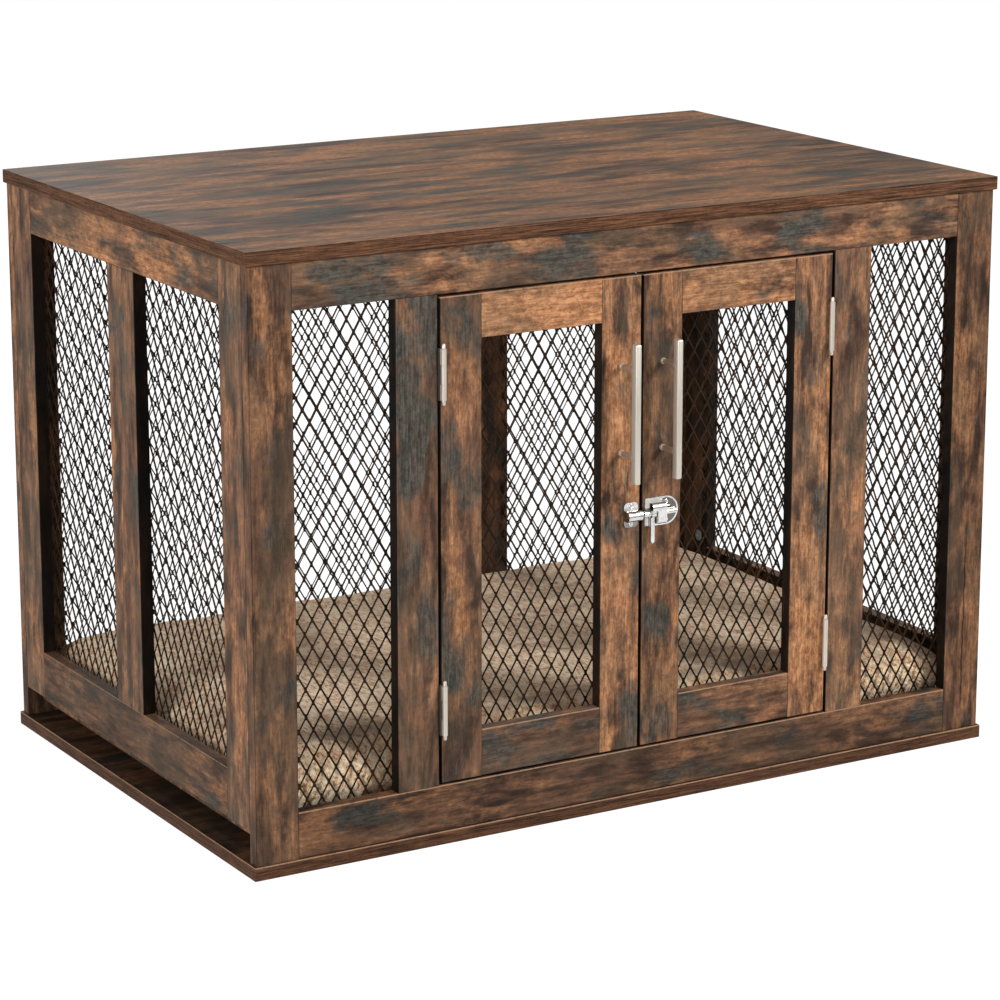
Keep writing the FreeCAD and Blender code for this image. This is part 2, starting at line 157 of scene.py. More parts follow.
def laminate(name, grain, side, seed, tan=0.5, blue=0.5, tone=1.0, streaky=0.0, marks=(), crack=None,
             jamb=None, band=False, rim=None, worn=1.0, deck=None, inner=None):
    """Printed woodgrain that runs along the axis grain, with side the axis across the board's face.
    tan and blue are how much of it is tan from rubbing or stained blue-grey, tone how light it is, streaky
    how far the figure is drawn out along the grain, and marks its largest stains in millimetres: (along,
    across, half length, half width). crack is where across the board its lower part is split, and jamb how
    far out the black edges reach. band gives the ends of the layers at the edge, and rim is the height of
    an upper edge along which a thin pale line lies, part wear of the print and part painted highlight;
    edges that lean upward get that line too, and worn is how pale it is. deck is the tone
    of the face that looks up, painted darker as shade under the frames, and inner says how far out the
    inner face lies and how dark it is painted, as shade inside the crate."""
    through = 3 - grain - side
    material, shader, start = finish(name, specular_ior_level=0.1 - 0.06 * streaky)
    place = start.place()
    along, across, deep, height = (place.parts()[axis] for axis in (grain, side, through, 2))
    facing = [abs(n) for n in start.facing().parts()]
    up = start.facing().parts()[2]

    def spread(lengthwise, crosswise, shift):
        factors = [crosswise] * 3
        factors[grain] = lengthwise
        return place.stretch(factors, (seed * 3.7 + shift, seed * 5.3 - shift, seed * 2.9 + shift * 2))

    drift = spread(5, 13, 0).cloud(3, 0.6, 0.4)
    figure = spread(11 - 5 * streaky, 58 - 22 * streaky, 11).cloud(5, 0.66, 0.35)
    blotch = spread(22 - 13 * streaky, 34, 71).cloud(5, 0.68, 0.4)
    fibre = spread(34, 420, 23).cloud(3, 0.62)
    mottle = spread(110, 170, 31).cloud(5, 0.75, 0.6)
    weather = spread(330, 70, 37).cloud(3, 0.7)
    stain = spread(16 - 8 * streaky, 26 + 4 * streaky, 47).cloud(4, 0.6, 0.45)
    pores = spread(110, 700, 59).cloud(2, 0.6)
    hair = spread(6, 95, 101).cloud(3, 0.6, 0.3)
    greyed = spread(8 - 3 * streaky, 15 + 15 * streaky, 131).cloud(3, 0.55, 0.3).rise(0.44, 0.62)

    dark_brown, mid_brown = paint(57, 42, 34), paint(132, 96, 73)
    deep_tan, pale_tan = paint(140, 90, 57), paint(198, 143, 100)
    olive_grey, black_slate, grey_slate = paint(94, 84, 68), paint(42, 45, 43), paint(86, 86, 79)
    dark_ply, light_ply, pale_wear_highlight = paint(42, 28, 21), paint(140, 96, 70), paint(168, 134, 106)

    wood = start.tint(dark_brown, mid_brown, (figure * 0.7 + blotch * 0.3).rise(0.37, 0.63))
    rubbed_tan = start.tint(deep_tan, pale_tan, (mottle * 0.6 + fibre * 0.4).rise(0.38, 0.62))
    tan_from = 0.53 - 0.12 * tan
    tan_share = (drift * 0.4 + blotch * 0.25 + figure * 0.35).rise(tan_from, tan_from + 0.14) * 0.8
    wood = wood.blended(rubbed_tan, tan_share)
    wood = wood.blended(olive_grey, greyed * (0.34 + 0.2 * streaky))

    for mark_along, mark_across, half_length, half_width in marks:
        far_along = (along - mark_along / 1000) * (1000 / half_length)
        far_across = (across - mark_across / 1000) * (1000 / half_width)
        stain = stain + 0.18 * (1 - (far_along * far_along + far_across * far_across).rise(0, 5.5))
    dark_from = 0.58 - 0.12 * blue
    dark = (stain + 0.16 * mottle + 0.08 * weather - 0.12).rise(dark_from, dark_from + 0.19)
    slate = start.tint(black_slate, grey_slate, (mottle * 0.5 + fibre * 0.5).rise(0.36, 0.66))
    wood = wood.blended(slate, dark * 0.84)

    value = (0.70 + 0.60 * fibre) * (0.58 + 0.84 * mottle) * (0.88 + 0.24 * weather)
    value = value * (1 - 0.32 * pores.rise(0.6, 0.7)) * tone
    value = value * (1 - 0.2 * (1 - abs(hair - 0.5).rise(0, 0.02)))
    if crack:
        wander = place.stretch((0, 0, 16), (seed, 0, 0)).cloud(3, 0.6)
        off_crack = abs(across - crack - 0.012 * (wander - 0.5)).rise(0.0004, 0.0015)
        crack_length = along.rise(0.03, 0.06) * (1 - along.rise(0.20, 0.26))
        value = value * (1 - 0.75 * (1 - off_crack) * crack_length)
    if band:
        edge = facing[2].rise(0.9, 0.6)
        ply = place.stretch((14, 14, 700), (seed, 0, 0)).cloud(4, 0.7, 1.5)
        wood = wood.blended(start.tint(dark_ply, light_ply, ply.rise(0.35, 0.68)), edge * 0.9)
    # A pale line on edges that lean upward and along the rim: part wear, part painted highlight.
    level = up.rise(0.85, 0.95)
    worn_and_lit = up.rise(0.4, 0.6) * (1 - level)
    if rim:
        rim_wide = 0.0015
        worn_and_lit = worn_and_lit.larger((height - (rim - rim_wide)).rise(0, 0.0004) * (1 - level))
    worn_and_lit = worn_and_lit * worn
    seam = (facing[0] * facing[1] + facing[1] * facing[2] + facing[2] * facing[0]).rise(0.2, 0.35)
    value = value * (1 - seam * (1 - worn_and_lit) * 0.6)
    # Painted shade: the face that looks up is darkened to the tone deck, as under the frames and in the
    # slots.
    if deck:
        value = value * (1 - (1 - deck) * level)
    if jamb:
        value = value * (1 - 0.94 * facing[side].rise(0.6, 0.75) * (jamb - abs(across)).rise(0, 0.001))
    # Painted shade: the inner face is darkened, as inside the crate.
    if inner:
        inner_out, inner_shade = inner
        within = (inner_out - abs(deep)).rise(0, 0.0005)
        value = value * (1 - inner_shade * facing[through].rise(0.9, 0.95) * within)
    wood = wood.blended(start.node("CombineColor", {}, {0: value, 1: value, 2: value}), 1.0, "MULTIPLY")
    wood = wood.blended(pale_wear_highlight, worn_and_lit * mottle.rise(0.25, 0.5) * 0.75)
    link(shader, "Base Color", wood)
    link(shader, "Roughness", 0.5 + 0.2 * mottle)
    roughen(shader, fibre * 0.6 + mottle * 0.4, 0.3, 0.0004)
    return material


def clad(node, grain, side, seed, rim=False, inner=None, **options):
    """Gives a board its laminate. rim and inner are worked out from the board's own box."""
    low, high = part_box(node)
    if rim:
        options["rim"] = high.z
    if inner:
        through = 3 - grain - side
        options["inner"] = (min(abs(low[through]), abs(high[through])) + 0.001, inner)
    give(node, laminate("laminate_" + node, grain, side, seed, **options))


x_axis, y_axis, z_axis = 0, 1, 2
clad("top_panel", x_axis, y_axis, 1.3, tan=0.85, blue=0.75, tone=0.74, streaky=1.0, band=True, worn=0.0)
# The base's upward face is painted darker, as shade under the frames and in the slots.
clad("base_panel", x_axis, y_axis, 2.1, tan=0.8, blue=0.3, tone=0.58, streaky=0.5, band=True,
     rim=True, deck=0.4)


# Back frame. The same laminated boards, two corner stiles, two inner stiles and two rails, dowelled
# edge to edge. The edges that face a window are black, and the inner face is painted darker than the
# outside, as shade inside the crate.
window_edges, back_inner_shade = 0.46, 0.3
back_stiles = ("back_left_corner_stile", "back_left_inner_stile",
               "back_right_inner_stile", "back_right_corner_stile")
for number, node in enumerate(back_stiles):
    clad(node, z_axis, x_axis, 3.1 + number, tan=0.4, blue=0.5, tone=0.9, jamb=window_edges, inner=back_inner_shade)
clad("back_top_rail", x_axis, z_axis, 8.2, blue=0.5, inner=back_inner_shade)
clad("back_bottom_rail", x_axis, z_axis, 9.4, blue=0.5, inner=back_inner_shade)


# Side frames. Three stiles between two rails on each side, the same boards; they are held by cam
# locks between the front and the back frame, and stop short of the base so that the tray slides out.
# The inner faces are painted darker, as shade inside the crate.
side_window_edges, side_inner_shade = 0.285, 0.6
for number, side in enumerate(("left_side_", "right_side_")):
    seed = 11.0 + 7 * number
    for stile, tan, blue in (("front_stile", 0.55, 0.4), ("middle_stile", 0.5, 0.5),
                             ("rear_stile", 0.4, 0.5)):
        clad(side + stile, z_axis, y_axis, seed, tan=tan, blue=blue, jamb=side_window_edges, inner=side_inner_shade)
        seed += 1
    clad(side + "top_rail", y_axis, z_axis, seed, tan=0.65, blue=0.5, inner=side_inner_shade)
    clad(side + "bottom_rail", y_axis, z_axis, seed + 1, tan=0.3, blue=0.5, tone=0.74, inner=side_inner_shade)


# Front frame. Two corner stiles, a top and a bottom rail, and an inner stile each side of the
# doors; the same boards. Its corner stiles cover the side frames' ends.
clad("front_left_corner_stile", z_axis, x_axis, 31.0, tan=0.3, blue=0.42, tone=0.76, jamb=window_edges)
clad("front_right_corner_stile", z_axis, x_axis, 32.4, tan=0.7, blue=-0.5, tone=0.6,
     crack=0.447, jamb=window_edges,
     marks=((505, 452, 18, 9), (250, 456, 14, 7), (214, 440, 3, 2), (206, 446, 3, 2)))
clad("front_left_inner_stile", z_axis, x_axis, 33.7, tan=0.25, blue=0.3, tone=0.92, jamb=window_edges,
     marks=((585, -278, 34, 40), (500, -275, 40, 16), (430, -282, 28, 10), (250, -262, 25, 10)))
clad("front_right_inner_stile", z_axis, x_axis, 34.2, tan=0.45, blue=0.35, jamb=window_edges)
clad("front_top_rail", x_axis, z_axis, 35.5, tan=0.55, blue=0.3, tone=0.94,
     marks=((-325, 624, 32, 24), (-388, 640, 14, 8), (-97, 628, 30, 30),
            (93, 622, 24, 12), (205, 630, 24, 26), (-200, 642, 26, 8)))
clad("front_bottom_rail", x_axis, z_axis, 36.1, tan=0.4, blue=0.3, tone=0.64, rim=True,
     marks=((-345, 48, 26, 12), (60, 30, 30, 10), (400, 44, 16, 12)))


# Windows. Flat sheets of expanded metal, black powder coat, stapled inside the frames: strands
# that lean in the sheet meet in thick knuckles, and the diamonds are taller than wide.
diamond_wide, diamond_tall = 0.0175, 0.030
gauge, lean = 0.0011, math.radians(28)
knuckle_wide, knuckle_tall, knuckle_half, wing_back = 0.0036, 0.0070, gauge * 0.6, gauge * 0.4
strand_wide, thin_strand, strand_half = 0.0017, 0.0012, 0.46

powder_black, shader, start = finish("powder_black", specular_ior_level=0.07)
place = start.place()
grit = place.stretch((900, 900, 900)).cloud(3, 0.6)
dust = place.stretch((25, 25, 25)).cloud(3, 0.6)
link(shader, "Base Color", start.tint(paint(28, 20, 13), paint(54, 37, 23), dust.rise(0.35, 0.7)))
link(shader, "Roughness", 0.35 + 0.25 * grit)
roughen(shader, grit, 0.4, 0.0002)


def mesh_piece(name, points, faces, material, body, smooth=False):
    """A piece of these points and faces that moves with body."""
    data = bpy.data.meshes.new(name)
    data.from_pydata([tuple(p) for p in points], [], faces)
    data.materials.append(material)
    piece = bpy.data.objects.new(name, data)
    bpy.context.scene.collection.objects.link(piece)
    for face in data.polygons:
        face.use_smooth = smooth
    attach(piece, body)
    return piece


def add_knuckle(points, faces, centre):
    """The thick lozenge where strands meet."""
    first = len(points)
    tip = Vector((0, 0, knuckle_tall / 2))
    wing = Vector((knuckle_wide / 2, wing_back, 0))
    for y in (-knuckle_half, knuckle_half):
        for corner in (-tip, wing, tip, -wing):
            points.append(centre + corner + Vector((0, y, 0)))
    sides = ((0, 1, 2, 3), (7, 6, 5, 4), (0, 4, 5, 1), (1, 5, 6, 2), (2, 6, 7, 3), (3, 7, 4, 0))
    faces += [[first + i for i in f] for f in sides]


def add_strand(points, faces, centre, along, wide):
    """A flat strand from centre along one side of a diamond, leaning in the sheet, its ends in knuckles."""
    first = len(points)
    way = 1 if along.x > 0 else -1
    beside = Vector((-along.z, 0, along.x)).normalized() * way
    flat = beside * math.cos(lean) + Vector((0, math.sin(lean), 0))
    thick = Vector((0, math.cos(lean), 0)) - beside * math.sin(lean)
    middle = centre + along / 2
    for z in (-1, 1):
        for x, y in ((-1, -1), (1, -1), (1, 1), (-1, 1)):
            points.append(middle + flat * wide / 2 * x + thick * gauge / 2 * y + along * strand_half * z)
    faces += [[first + i for i in f] for f in ((0, 1, 5, 4), (1, 2, 6, 5), (2, 3, 7, 6), (3, 0, 4, 7))]


def expanded_metal(node, body, strand=strand_wide):
    """A sheet of expanded metal in the place of the CAD's plain one, cut off square at its edges."""
    low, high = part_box(node)
    through = min((0, 1), key=lambda axis: high[axis] - low[axis])
    across = 1 - through
    points, faces = [], []
    columns = int((high[across] - low[across]) / diamond_wide * 2) + 3
    rows = int((high[2] - low[2]) / diamond_tall * 2) + 3
    for column in range(-1, columns):
        for row in range(-1, rows):
            if (column + row) % 2:
                continue
            centre = Vector((column * diamond_wide / 2, 0, row * diamond_tall / 2))
            add_knuckle(points, faces, centre)
            for way in (-1, 1):
                along = Vector((diamond_wide / 2 * way, 0, diamond_tall / 2))
                add_strand(points, faces, centre, along, strand)
    middle = (low[through] + high[through]) / 2
    placed = []
    for p in points:
        spot = Vector((0, 0, low[2] + p.z))
        spot[across], spot[through] = low[across] + p.x, middle + p.y
        placed.append(spot)
    piece = mesh_piece("expanded_" + node, placed, faces, powder_black, body)
    trimmed = bmesh.new()
    trimmed.from_mesh(piece.data)
    for axis in (across, 2):
        for limit, sign in ((low[axis], -1), (high[axis], 1)):
            level, normal = Vector(), Vector()
            level[axis], normal[axis] = limit, sign
            bmesh.ops.bisect_plane(trimmed, geom=trimmed.verts[:] + trimmed.edges[:] + trimmed.faces[:],
                                   plane_co=level, plane_no=normal, clear_outer=True)
    bmesh.ops.recalc_face_normals(trimmed, faces=trimmed.faces[:])
    trimmed.to_mesh(piece.data)
    trimmed.free()
    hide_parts(node)


for node in sorted(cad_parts):
    if node.endswith("_mesh") and "door" not in node:
        expanded_metal(node, "crate", thin_strand if node.startswith("back") else strand_wide)


# Cam locks. Cast zinc discs turned with a screwdriver in bores in the side frames' inner faces,
# where they grip the dowel screws of the front and back frames.
zinc, shader, start = finish("zinc", metallic=0.9)
cast = start.place().stretch((300, 300, 300)).cloud(4, 0.6)
link(shader, "Base Color", start.tint(paint(112, 112, 112), paint(172, 172, 170), cast))
link(shader, "Roughness", 0.35 + 0.3 * cast)
roughen(shader, cast, 0.3, 0.0003)


def crossed_head(points, faces, centre, outward, radius, turn, dome, slot_half, slot_deep):
    """A round head with a cross recess, its rim at centre. dome, slot_half and slot_deep are shares of
    the radius, and turn is how far the recess is turned."""
    rings, spokes, slot_long, skirt = 12, 48, 0.62, -0.1
    turned = outward.to_track_quat("Z", "Y")
    first = len(points)
    for ring in range(rings + 1):
        share = ring / rings
        for spoke in range(spokes):
            angle = math.tau * spoke / spokes
            x, y = share * math.cos(angle), share * math.sin(angle)
            u = abs(x * math.cos(turn) + y * math.sin(turn))
            v = abs(y * math.cos(turn) - x * math.sin(turn))
            height = dome * math.sqrt(max(0, 1 - (share * 0.96) ** 2.6))
            if min(u, v) < slot_half and max(u, v) < slot_long:
                height -= slot_deep
            points.append(centre + turned @ Vector((x, y, height)) * radius)
    for spoke in range(spokes):
        angle = math.tau * spoke / spokes
        points.append(centre + turned @ Vector((math.cos(angle), math.sin(angle), skirt)) * radius)
    for ring in range(rings + 1):
        for spoke in range(spokes):
            here, there = first + ring * spokes, first + (ring + 1) * spokes
            ahead = (spoke + 1) % spokes
            faces.append([here + spoke, there + spoke, there + ahead, here + ahead])


cam_radius, cam_face = 0.0075, 0.4572
points, faces = [], []
low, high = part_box("cam_locks")
for side in (-1, 1):
    for y in (low.y + cam_radius, high.y - cam_radius):
        for z in (low.z + cam_radius, high.z - cam_radius):
            crossed_head(points, faces, Vector((side * cam_face, y, z)), Vector((-side, 0, 0)),
                         cam_radius, turn=0.3 + 9 * z, dome=0.05, slot_half=0.12, slot_deep=0.2)
cams = mesh_piece("cam_discs", points, faces, zinc, "crate", smooth=True)
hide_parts("cam_locks")


# Doors. Each is two stiles and two rails, the same boards with the same black window edges, and a
# sheet of expanded metal inside. A pale line runs along the upper edges, part wear of the print and
# part painted highlight.
clad("left_door_hinge_stile", z_axis, x_axis, 41.0, tan=0.6, blue=0.2, tone=0.88,
     rim=True, jamb=window_edges,
     marks=((398, -218, 28, 14), (434, -240, 18, 9), (231, -240, 30, 14), (190, -222, 24, 16),
            (560, -230, 20, 18)))
clad("left_door_meeting_stile", z_axis, x_axis, 42.0, tan=0.85, blue=0.1, rim=True, jamb=window_edges,
     marks=((482, -32, 26, 14), (267, -28, 14, 22), (323, -42, 10, 7), (213, -40, 13, 10),
            (120, -12, 30, 8)))
clad("left_door_top_rail", x_axis, z_axis, 43.0, tan=1.6, blue=-0.3, tone=1.12, rim=True,
     marks=((-208, 556, 14, 7),))
clad("left_door_bottom_rail", x_axis, z_axis, 44.0, tan=0.3, blue=1.3, tone=0.82, rim=True)
clad("right_door_meeting_stile", z_axis, x_axis, 45.0, tan=0.8, blue=0.1, tone=0.8,
     rim=True, jamb=window_edges,
     marks=((189, 26, 26, 17), (220, 20, 18, 10), (545, 14, 16, 5), (95, 30, 18, 14)))
clad("right_door_hinge_stile", z_axis, x_axis, 46.0, tan=0.8, blue=0.2, rim=True, jamb=window_edges,
     marks=((469, 226, 13, 12), (545, 206, 22, 7), (300, 240, 28, 8)))
clad("right_door_top_rail", x_axis, z_axis, 47.0, tan=0.95, blue=0.1, rim=True, marks=((120, 562, 24, 12),))
clad("right_door_bottom_rail", x_axis, z_axis, 48.0, tan=0.5, blue=1.0, tone=0.84, rim=True)
for side in ("left_door", "right_door"):
    expanded_metal(side + "_mesh", side)


# Hinges. Four butt hinges of satin nickel, pressed leaves rolled into five knuckles, on a turned
# pin whose ends stand out as slim round tips. The leaves are let into the gap beside each door.

# The frame's leaves are painted dark in the gap as shade, and the handles' posts carry a painted
# bronze reflection of the wooden door, so they look more bronze than the bars.
door_gap, bar_back, near_handles = 0.2508, -0.3338, 0.06
satin_nickel, shader, start = finish("satin_nickel", metallic=0.6)
place = start.place()
across, through = place.parts()[:2]
brushed = place.stretch((1500, 1500, 40)).cloud(3, 0.6)
handled = place.stretch((30, 30, 12)).cloud(3, 0.6)
nickel = start.tint(paint(182, 172, 158), paint(222, 214, 202), brushed * 0.4 + handled * 0.6)
# Painted shade on the frame's leaves where they sit in the gap.
gap_shade = (abs(across) - door_gap).rise(0, 0.0006)
# Painted reflection: the posts are tinted bronze as if they mirrored the wooden door.
post_reflection = (through - bar_back).rise(0, 0.0005) * (near_handles - abs(across)).rise(0, 0.001)
nickel = nickel.blended(paint(176, 138, 104), post_reflection * 0.5)
link(shader, "Base Color", nickel.blended(paint(40, 32, 26), gap_shade * 0.9))
link(shader, "Roughness", 0.26 + 0.22 * brushed)
roughen(shader, brushed, 0.12, 0.0001)
for node in ("hinge_frame_leaves", "left_door_hinge_leaves", "right_door_hinge_leaves"):
    give(node, satin_nickel)


def turned_part(points, faces, foot, outward, profile):
    """Turned metal from its profile, (radius, distance) pairs from the foot outward."""
    spokes = 32
    aim = outward.to_track_quat("Z", "Y")
    first = len(points)
    for radius, distance in profile:
        for spoke in range(spokes):
            angle = math.tau * spoke / spokes
            points.append(foot + aim @ Vector((radius * math.cos(angle), radius * math.sin(angle), distance)))
    for ring in range(len(profile) - 1):
        for spoke in range(spokes):
            here, there, ahead = first + ring * spokes, first + (ring + 1) * spokes, (spoke + 1) % spokes
            faces.append([here + spoke, here + ahead, there + ahead, there + spoke])
    faces.append([first + spoke for spoke in reversed(range(spokes))])
    faces.append([first + (len(profile) - 1) * spokes + spoke for spoke in range(spokes)])


pin_out, knuckles_long, tip_long = 0.248, 0.055, 0.0056
tip_profile = ((0.0022, 0), (0.0022, 0.0012), (0.0020, 0.0016), (0.0020, 0.0040),
               (0.0017, 0.0050), (0.0010, 0.0055), (0.0003, tip_long))
points, faces = [], []
low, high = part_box("hinge_pins")
for side in (-1, 1):
    for middle in (low.z + tip_long + knuckles_long / 2, high.z - tip_long - knuckles_long / 2):
        for up in (-1, 1):
            foot = Vector((side * pin_out, (low.y + high.y) / 2, middle + up * knuckles_long / 2))
            turned_part(points, faces, foot, Vector((0, 0, up)), tip_profile)
pins = mesh_piece("pin_tips", points, faces, satin_nickel, "crate", smooth=True)
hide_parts("hinge_pins")


# Handles. A flat bar of satin nickel with rounded edges on two turned posts, in the middle of
# each meeting stile; screws from inside the door hold the posts.
def eased_block(points, faces, low, high, edge):
    """A bar upright along Z, with its corners rounded and its ends eased."""
    steps = 3
    outline = []
    for corner, (x, y) in enumerate(((high.x - edge, high.y - edge), (low.x + edge, high.y - edge),
                                     (low.x + edge, low.y + edge), (high.x - edge, low.y + edge))):
        for step in range(steps + 1):
            angle = math.pi / 2 * (corner + step / steps)
            outline.append((x, y, math.cos(angle), math.sin(angle)))
    levels = []
    for step in range(steps, -1, -1):
        angle = math.pi / 2 * step / steps
        levels.append((low.z + edge * (1 - math.sin(angle)), edge * (1 - math.cos(angle))))
    levels += [(low.z + high.z - z, inset) for z, inset in reversed(levels)]
    first, count = len(points), len(outline)
    for z, inset in levels:
        for x, y, out_x, out_y in outline:
            points.append(Vector((x + out_x * (edge - inset), y + out_y * (edge - inset), z)))
    for level in range(len(levels) - 1):
        for n in range(count):
            here, there, ahead = first + level * count, first + (level + 1) * count, (n + 1) % count
            faces.append([here + n, here + ahead, there + ahead, there + n])
    faces.append([first + n for n in reversed(range(count))])
    faces.append([first + (len(levels) - 1) * count + n for n in range(count)])


posts_apart, bar_deep, bar_half, bar_edge = 0.096, 0.0095, 0.0035, 0.0016
post_profile = ((0.0035, 0), (0.0035, 0.0030), (0.0029, 0.0036), (0.0029, 0.0080),
                (0.0034, 0.0086), (0.0034, 0.0275))
for door in ("left", "right"):
    points, faces = [], []
    low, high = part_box(door + "_handle")
    middle = (low + high) / 2
    bar_low = Vector((middle.x - bar_half, low.y, low.z))
    bar_high = Vector((middle.x + bar_half, low.y + bar_deep, high.z))
    eased_block(points, faces, bar_low, bar_high, bar_edge)
    for up in (-1, 1):
        foot = Vector((middle.x, high.y, middle.z + up * posts_apart / 2))
        turned_part(points, faces, foot, Vector((0, -1, 0)), post_profile)
    bar = mesh_piece(door + "_bar", points, faces, satin_nickel, door + "_door", smooth=True)
    bar.data.set_sharp_from_angle(angle=math.radians(40))
    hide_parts(door + "_handle")


# Barrel latch. Chrome-plated zinc: a round-ended plate and its saddle on the right door, through
# which the bolt slides, a lever that hangs from it, and a strap keeper on the left door.

# The flat of the plate is painted dark at its round end, and so is the keeper's lower ear: painted shade
# and a painted dark reflection. The end's middle is given in millimetres, and how far its dark reaches
# in square millimetres.
flat_front, dark_from, keeper_to, bolt_height = -0.3102, 0.0262, -0.0045, 0.334
end_x, end_z, end_reach, end_rim = 31.5, 334, 196, 213
latch_chrome, shader, start = finish("latch_chrome", metallic=1.0)
place = start.place()
across, through, upward = place.parts()
cloudy = place.stretch((120, 120, 120)).cloud(2, 0.5)
plated = start.tint(paint(206, 205, 203), paint(228, 227, 225), cloudy.rise(0.3, 0.7))
from_end_x, from_end_z = 1000 * across - end_x, 1000 * upward - end_z
off_end = from_end_x * from_end_x + from_end_z * from_end_z
on_flat = (through - flat_front).rise(0, 0.0006)
# Painted shade and dark reflection on the plate's round end and on the keeper's lower ear.
end_shade_and_reflection = on_flat * (across - dark_from).rise(0, 0.001) * (1 - off_end.rise(end_reach, end_rim))
ear_shade_and_reflection = on_flat * (keeper_to - across).rise(-0.001, 0) * (upward - bolt_height).rise(0.002, -0.002)
link(shader, "Base Color", plated.blended(paint(74, 66, 56), (end_shade_and_reflection + ear_shade_and_reflection * 0.8) * 0.85))
link(shader, "Roughness", 0.04 + 0.05 * cloudy)
roughen(shader, cloudy, 0.1, 0.0006)
for node in ("latch_body", "latch_bolt", "latch_lever", "latch_keeper"):
    give(node, latch_chrome)

rim_set_back = 0.0002
for node, body in (("latch_screws", "right_door"), ("keeper_screws", "left_door")):
    points, faces = [], []
    low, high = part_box(node)
    radius = (high.x - low.x) / 2
    for z, turn in ((low.z + radius, 0.6), (high.z - radius, 0.9)):
        centre = Vector((low.x + radius, high.y - rim_set_back, z))
        crossed_head(points, faces, centre, Vector((0, -1, 0)), radius, turn,
                     dome=0.42, slot_half=0.16, slot_deep=0.25)
    heads = mesh_piece(node + "_heads", points, faces, latch_chrome, body, smooth=True)
    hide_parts(node)


# Floor tray. A loose laminated board that carries the cushion and slides out through the slot of
# either side. It rides on three battens of the same board, fixed along the base.
clad("floor_tray", x_axis, y_axis, 55.0, tan=0.3, blue=0.9, tone=0.8)
clad("tray_battens", y_axis, x_axis, 56.0, tan=0.3, blue=0.4, tone=0.8)


# Cushion. One foam-filled pad under short curled plush, with rounded corners and a crown. It
# covers the tray and only rests on it, and the plush hides its seam.
shade_band_back = 0.232
plush, shader, start = finish("plush", roughness=0.95, sheen_weight=0.3, sheen_roughness=0.5,
                              specular_ior_level=0.1)
place = start.place()
tuft = place.stretch((250, 170, 250)).cloud(4, 0.72, 0.8)
curl = place.stretch((140, 60, 140), (7, 3, 1)).cloud(3, 0.65, 1.2)
broad = place.stretch((7, 7, 7)).cloud(3, 0.5)
nap = place.stretch((5, 15, 5), (4, 9, 2)).cloud(3, 0.55, 0.6)
curled = tuft * 0.4 + curl * 0.6
pile = start.tint(paint(226, 172, 126), paint(255, 236, 200), curled.rise(0.42, 0.58))
pile = pile.blended(paint(108, 74, 42), curled.rise(0.46, 0.38) * 0.75)
pile = pile.blended(paint(150, 110, 76), nap.rise(0.53, 0.67) * 0.45)
# A painted shade band across the pad near its front, in place of the shading of a fold.
off_shade_band = abs(place.parts()[1] + shade_band_back + 0.05 * (broad - 0.5))
pile = pile.blended(paint(124, 88, 58), (1 - off_shade_band.rise(0.004, 0.024)) * 0.5)
link(shader, "Base Color", pile)
roughen(shader, tuft * 0.5 + curl * 0.5, 1.0, 0.005)

rings, spokes, squareness = 14, 320, 80
waist, top_rise, crown, under_rise, drawn_in = 0.029, 0.036, 0.004, 0.028, 0.005
low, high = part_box("cushion")
half, middle = (high - low) / 2, (high + low) / 2
points, faces = [], []
for face in (1, -1):
    for ring in range(rings + 1):
        share = math.sin(math.pi / 2 * ring / rings)
        swell = (1 - share ** 22) ** 0.5
        for spoke in range(spokes):
            angle = math.tau * spoke / spokes
            x, y = math.cos(angle), math.sin(angle)
            reach = (abs(x) ** squareness + abs(y) ** squareness) ** (-1 / squareness)
            x, y = x * reach * share, y * reach * share
            crowned = top_rise + crown * math.cos(x * math.pi / 2) * math.cos(y * math.pi / 2)
            rise = crowned * swell if face > 0 else under_rise * swell
            points.append(Vector((middle.x + x * (half.x - drawn_in), middle.y + y * (half.y - drawn_in),
                                  low.z + waist + face * rise)))
for face in (0, 1):
    for ring in range(rings):
        for spoke in range(spokes):
            here = face * (rings + 1) * spokes + ring * spokes
            there, ahead = here + spokes, (spoke + 1) % spokes
            quad = [here + spoke, there + spoke, there + ahead, here + ahead]
            faces.append(quad if face == 0 else quad[::-1])
pad = mesh_piece("plush_pad", points, faces, plush, "crate", smooth=True)
shell = bmesh.new()
shell.from_mesh(pad.data)
bmesh.ops.remove_doubles(shell, verts=shell.verts[:], dist=0.0004)
bmesh.ops.recalc_face_normals(shell, faces=shell.faces[:])
shell.to_mesh(pad.data)
shell.free()


def settled(piece):
    """The piece's mesh with its modifiers applied."""
    seen = piece.evaluated_get(bpy.context.evaluated_depsgraph_get())
    return bpy.data.meshes.new_from_object(seen)


# The filling presses the cover out, as a cloth does under pressure.
fine = pad.modifiers.new("fine", "REMESH")
fine.mode, fine.voxel_size, fine.use_smooth_shade = "VOXEL", 0.007, True
pad.data = settled(pad)
pad.modifiers.clear()
pressure, frames, furthest = 4.0, 20, 0.008
before = [v.co.copy() for v in pad.data.vertices]
cloth = pad.modifiers.new("cloth", "CLOTH")
cloth.settings.use_pressure, cloth.settings.uniform_pressure_force = True, pressure
cloth.settings.effector_weights.gravity = 0
cloth.settings.quality = 5
cloth.point_cache.frame_start, cloth.point_cache.frame_end = 1, frames
for step in range(1, frames + 1):
    bpy.context.scene.frame_set(step)
filled = settled(pad)
pad.modifiers.clear()
pad.data = filled
for v, was in zip(pad.data.vertices, before):
    moved = v.co - was
    if moved.length > furthest:
        v.co = was + moved.normalized() * furthest
bpy.context.scene.frame_set(1)

